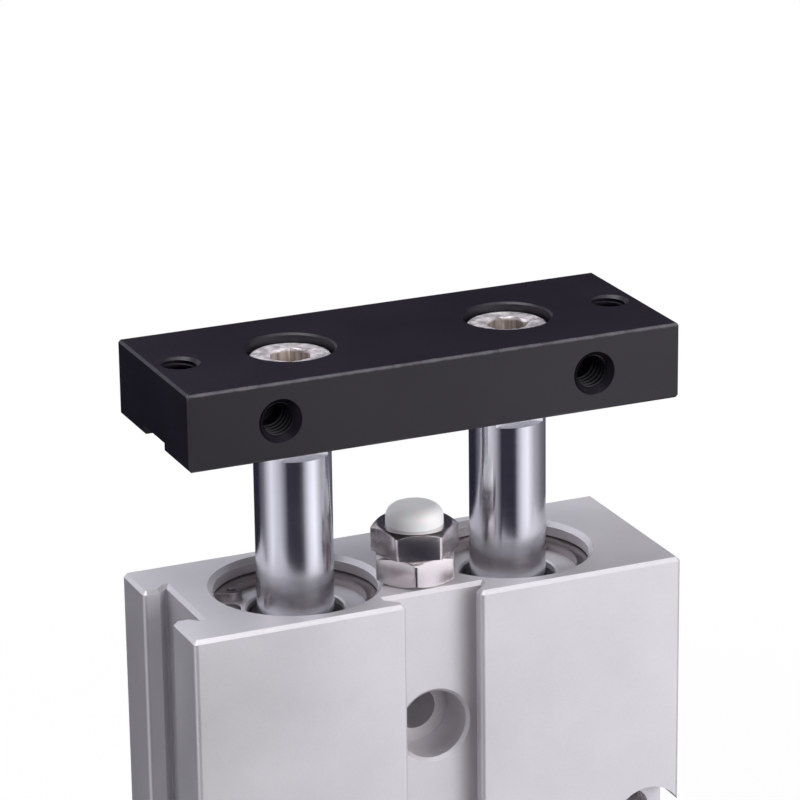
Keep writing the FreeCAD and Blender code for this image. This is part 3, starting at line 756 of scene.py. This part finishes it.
def dressed_screws():
    """Socket head screws: rounded head and a hexagon socket with a lead-in cone."""
    head_bottom = screw_high.z - SCREW_HEAD_HEIGHT
    socket_bottom = screw_high.z - SCREW_SOCKET_DEPTH
    lead_bottom, lead_top = screw_high.z - SCREW_SOCKET_LEAD, screw_high.z + SCREW_SOCKET_LEAD
    for side, sign in SIDES.items():
        x = sign * rod_x
        screw = cylinder(f"plate_screw_{side}", SCREW_HEAD_RADIUS, head_bottom, screw_high.z, x)
        round_edges(screw, at_height(screw_high.z), SCREW_HEAD_ROUNDING, SCREW_HEAD_STEPS)
        step_face(screw, head_bottom, SCREW_HEAD_RADIUS - SCREW_SHANK_RADIUS, screw_low.z - head_bottom)
        socket = prism("socket", SCREW_SOCKET, socket_bottom, screw_high.z + SCREW_SOCKET, x,
                       turn=SCREW_SOCKET_TURNS[side])
        carve(screw, socket)
        lead = cylinder("lead_in", corner_radius(SCREW_SOCKET), lead_bottom, lead_top, x)
        pick(lead, "FACE", at_height(lead_bottom))
        with editing(lead):
            bpy.ops.transform.resize(value=(FLATS_TO_CORNERS, FLATS_TO_CORNERS, 1),
                                     center_override=(x, 0, lead_bottom))
        carve(screw, lead)
        break_edges(screw)
        dress(screw, "rods", "screw_nickel", "plate_screws")


def turned_hexagon(name, bottom, top, turn, drop_bottom, drop_top):
    """Hexagon at the adjuster whose corners are turned off by a cone at its ends."""
    piece = prism(name, HEXAGON, bottom, top, 0, adjuster_y, turn)
    round_edges(piece, upright, HEXAGON_EDGE, HEXAGON_EDGE_STEPS)
    corner = corner_radius(HEXAGON) + SAME_POINT
    narrow = (HEXAGON / 2 - HEXAGON_INSET) / corner
    blank = cylinder("blank", corner, bottom + drop_bottom, top - drop_top, 0, adjuster_y, 2 * ROUND_STEPS)
    for height, drop in ((bottom + drop_bottom, -drop_bottom), (top - drop_top, drop_top)):
        if drop:
            pick(blank, "FACE", at_height(height))
            with editing(blank):
                bpy.ops.mesh.extrude_region_move(TRANSFORM_OT_translate={"value": (0, 0, drop)})
                bpy.ops.transform.resize(value=(narrow, narrow, 1),
                                         center_override=(0, adjuster_y, height + drop))
    carve(piece, blank, "INTERSECT")
    return piece


def dressed_lock_nut():
    """Lock nut with turned chamfers on both ends."""
    piece = turned_hexagon("adjuster_lock_nut_dressed", nut_low.z, nut_high.z, LOCK_NUT_TURN,
                           HEXAGON_DROP, HEXAGON_DROP)
    carve(piece, cylinder("hole", LOCK_NUT_HOLE, nut_low.z - OVERRUN, nut_high.z + OVERRUN, 0, adjuster_y))
    break_edges(piece)
    dress(piece, "cylinder", "nut_plated", "adjuster_lock_nut")


def dressed_bolt():
    """Adjusting bolt: hexagon head, threaded shank and the socket that holds the tip."""
    head_bottom = bolt_high.z - BOLT_HEAD_HEIGHT
    head = turned_hexagon("adjuster_bolt_dressed", head_bottom, bolt_high.z, BOLT_HEAD_TURN, 0, HEXAGON_DROP)
    carve(head, cylinder("stem_hole", TIP_STEM_RADIUS + TIP_STEM_FIT, tip_low.z - TIP_STEM_FIT,
                         bolt_high.z + OVERRUN, 0, adjuster_y))
    break_edges(head)
    pitch = BOLT_THREAD.pitch
    turns = int((head_bottom - bolt_low.z) / pitch)
    shank = threaded_core("shank", BOLT_THREAD, turns, ROUND_STEPS)
    shank.data.transform(Matrix.Translation((0, adjuster_y, head_bottom - (turns + 0.5) * pitch)))
    carve(head, shank, "UNION")
    dress(head, "adjuster_bolt", "nut_plated", "adjuster_bolt")


def dressed_tip():
    """Domed nylon tip with its stem."""
    seat = tip_high.z - TIP_HEIGHT
    radius = (tip_high.x - tip_low.x) / 2
    piece = cylinder("adjuster_tip_dressed", radius, seat, tip_high.z, 0, adjuster_y)
    round_edges(piece, at_height(tip_high.z), TIP_HEIGHT - TIP_STRAIGHT, TIP_DOME_STEPS)
    step_face(piece, seat, radius - TIP_STEM_RADIUS, tip_low.z - seat)
    dress(piece, "adjuster_tip", "tip_nylon", "adjuster_tip")


def dressed_rings():
    """Retaining rings with stamped, slightly rounded edges."""
    for end in ("front", "rear"):
        for side in SIDES:
            node = f"{end}_retaining_ring_{side}"
            piece = cad_copy(node, node + "_dressed")
            break_edges(piece)
            dress(piece, "cylinder", "ring_steel", node)


def finish_other_nodes():
    """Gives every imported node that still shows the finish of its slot."""
    for node in frame["nodes"].values():
        if not node.hide_render:
            slot = node.data.materials[0].name
            node.data.materials[0] = finishes[slot.split(".")[0]]


# Studio

WHITE = (1, 1, 1, 1)
WORLD_FILL = 0.18
FLOOR_SIZE = 6.0
FLOOR_GLOW = (0.7, 1.0)      # share of it that doesn't depend on the lamps, near the part and far off
FLOOR_FADE = (0.06, 0.2)     # distances from the part between which that share changes
FLOOR_SEEN = 0.65            # how pale its matte share looks
FLOOR_BOUNCE = 0.5           # how much light it throws back at the part

TENT_RADIUS = 0.26
TENT_HEIGHT = 0.6
TENT_LIFT = 0.2 * MM         # its bottom lies just above the floor
TENT_FOLD = (0.06, 0.13)     # heights between which the lower panels give way to the upper ones
PANEL_TINT = (0.98, 0.965, 1.045)
PANEL_SHADE = (-0.008, -0.009, 0.004)        # keeps the dark panels bluish
LOWER_PANELS = [             # degrees from the front towards the right, brightness
    (-180, 0.03), (-140, 0.03), (-116, 0.2), (-88, 0.95), (-62, 0.55), (-40, 0.04), (2, 0.03),
    (24, 0.85), (40, 1.1), (64, 0.5), (95, 0.22), (150, 0.06), (180, 0.05),
]
UPPER_PANELS = [
    (-180, 0.4), (-160, 0.55), (-130, 0.6), (-90, 0.8), (-55, 0.45), (-30, 0.4), (20, 0.7),
    (50, 0.98), (75, 0.6), (110, 0.06), (170, 0.05), (180, 0.5),
]


def plain_material(name):
    """Material without nodes, and its node tree."""
    material = bpy.data.materials.new(name)
    material.use_nodes = True
    material.node_tree.nodes.clear()
    return material, material.node_tree


def seen_directly(tree):
    """1 for camera, mirror and transmission rays, which are to see the pale set."""
    rays = add_node(tree, "ShaderNodeLightPath").outputs
    either = math_node(tree, "MAXIMUM", rays["Is Camera Ray"], rays["Is Glossy Ray"])
    return math_node(tree, "MAXIMUM", either, rays["Is Transmission Ray"])


def floor():
    """Pale floor that keeps a soft shadow under the part."""
    material, tree = plain_material("pale_floor")
    seen = seen_directly(tree)
    tone = mix_values(tree, seen, FLOOR_BOUNCE, FLOOR_SEEN)
    matte = add_node(tree, "ShaderNodeBsdfDiffuse", inputs={"Color": tone})
    glow = add_node(tree, "ShaderNodeEmission", inputs={"Color": WHITE, "Strength": 1.0})
    distance = add_node(tree, "ShaderNodeVectorMath", operation="LENGTH", inputs={0: object_place(tree)})
    steady = map_range(tree, distance.outputs["Value"], *FLOOR_FADE, *FLOOR_GLOW, "SMOOTHSTEP")
    share = math_node(tree, "MULTIPLY", seen, steady)
    mix = add_node(tree, "ShaderNodeMixShader", inputs={0: share, 1: matte.outputs[0], 2: glow.outputs[0]})
    add_node(tree, "ShaderNodeOutputMaterial", inputs={"Surface": mix.outputs[0]})
    deselect_all()
    bpy.ops.mesh.primitive_plane_add(size=FLOOR_SIZE, location=(0, 0, body_low.z))
    piece = newly_added("floor")
    piece.data.materials.append(material)


def world():
    """White behind the part, and an even fill light from all round."""
    setting = bpy.data.worlds.new("studio")
    bpy.context.scene.world = setting
    setting.use_nodes = True
    tree = setting.node_tree
    tree.nodes.clear()
    fill = add_node(tree, "ShaderNodeBackground", inputs={"Color": WHITE, "Strength": WORLD_FILL})
    white = add_node(tree, "ShaderNodeBackground", inputs={"Color": WHITE, "Strength": 1.0})
    mix = add_node(tree, "ShaderNodeMixShader",
                   inputs={0: seen_directly(tree), 1: fill.outputs[0], 2: white.outputs[0]})
    add_node(tree, "ShaderNodeOutputWorld", inputs={"Surface": mix.outputs[0]})


def panel_ramp(tree, share, panels):
    """Brightness that changes round the tent from panel to panel."""
    ramp = add_node(tree, "ShaderNodeValToRGB", inputs={0: share})
    stops = ramp.color_ramp.elements
    while len(stops) < len(panels):
        stops.new(0.5)
    for stop, (degrees, brightness) in zip(stops, panels):
        stop.position = (degrees + 180) / 360
        stop.color = (*(brightness * tint + cool for tint, cool in zip(PANEL_TINT, PANEL_SHADE)), 1)
    return ramp.outputs[0]


def tent():
    """Open tent of bright and dark panels round the part, which only its reflections see."""
    material, tree = plain_material("tent_panels")
    x, y, z = separate(tree, object_place(tree))
    angle = math_node(tree, "ARCTAN2", x, math_node(tree, "MULTIPLY", y, -1.0))
    share = map_range(tree, angle, -math.pi, math.pi)
    fold = map_range(tree, z, *TENT_FOLD, kind="SMOOTHSTEP")
    lower, upper = (panel_ramp(tree, share, panels) for panels in (LOWER_PANELS, UPPER_PANELS))
    tone = mix_colors(tree, fold, lower, upper)
    glow = add_node(tree, "ShaderNodeEmission", inputs={"Color": tone, "Strength": 1.0})
    add_node(tree, "ShaderNodeOutputMaterial", inputs={"Surface": glow.outputs[0]})
    piece = cylinder("tent", TENT_RADIUS, TENT_LIFT, TENT_HEIGHT)
    pick(piece, "FACE", at_height(TENT_HEIGHT))
    with editing(piece):
        bpy.ops.mesh.delete(type="FACE")
    piece.data.materials.append(material)
    piece.visible_camera = False
    piece.visible_diffuse = False
    piece.visible_transmission = False
    piece.visible_shadow = False


def bearing(azimuth, elevation):
    """Direction from the middle of the body's top face. Azimuth 0 is to the front and 90 to the right."""
    a, e = math.radians(azimuth), math.radians(elevation)
    return Vector((math.sin(a) * math.cos(e), -math.cos(a) * math.cos(e), math.sin(e)))


def softbox(name, azimuth, elevation, distance, width, height, watts, color=(1, 1, 1), mirrored=True):
    """Rectangular lamp that points at the part. A fill lamp may be kept out of its reflections."""
    lamp = bpy.data.lights.new(name, "AREA")
    lamp.shape = "RECTANGLE"
    lamp.size, lamp.size_y = width, height
    lamp.energy = watts
    lamp.color = color
    holder = place_object(name, lamp)
    holder.location = top_centre + distance * bearing(azimuth, elevation)
    holder.rotation_mode = "QUATERNION"
    holder.rotation_quaternion = (top_centre - holder.location).to_track_quat("-Z", "Y")
    holder.visible_camera = False
    holder.visible_glossy = mirrored


# Camera, from the photograph: angles in degrees, sizes of its frame in pixels

CAMERA_AZIMUTH = -23.412
CAMERA_ELEVATION = 18.772
CAMERA_ROLL = -0.748
CAMERA_DISTANCE = 398.442 * MM
CAMERA_RIGHT = -0.264 * MM   # how far the camera stands beside and above the line to the top face
CAMERA_UP = 17.056 * MM
CAMERA_SENSOR = 36.0
CAMERA_CLIP = (0.01, 100.0)
FRAME_PIXELS = 800
FOCAL_PIXELS = 3848.878


def camera():
    """Camera that sees the part as the photograph does."""
    level = (-bearing(CAMERA_AZIMUTH, CAMERA_ELEVATION)).to_track_quat("-Z", "Y")
    turn = level @ Quaternion((0, 0, 1), math.radians(CAMERA_ROLL))
    lens = bpy.data.cameras.new("camera")
    lens.sensor_width = CAMERA_SENSOR
    lens.lens = CAMERA_SENSOR * FOCAL_PIXELS / FRAME_PIXELS
    lens.clip_start, lens.clip_end = CAMERA_CLIP
    holder = place_object("camera", lens)
    holder.rotation_mode = "QUATERNION"
    holder.rotation_quaternion = turn
    holder.location = top_centre + turn @ Vector((CAMERA_RIGHT, CAMERA_UP, CAMERA_DISTANCE))
    bpy.context.scene.camera = holder


dressed_body()
dressed_plate()
dressed_rods()
dressed_screws()
dressed_lock_nut()
dressed_bolt()
dressed_tip()
dressed_rings()
finish_other_nodes()

floor()
world()
tent()
softbox("key", azimuth=64, elevation=45, distance=0.8, width=0.7, height=0.7, watts=4.0)
softbox("left_top", azimuth=-88, elevation=74, distance=0.42, width=0.3, height=0.3, watts=0.95,
        color=(0.94, 0.95, 1.0))
softbox("front_fill", azimuth=22, elevation=14, distance=1.0, width=0.8, height=0.5, watts=5.5)
softbox("back_left", azimuth=-165, elevation=40, distance=0.18, width=0.15, height=0.12, watts=0.36,
        color=(0.9, 0.92, 1.0), mirrored=False)
softbox("back_right", azimuth=125, elevation=10, distance=0.8, width=0.5, height=0.4, watts=1.8,
        mirrored=False)
camera()

bpy.context.scene.view_settings.view_transform = "Standard"
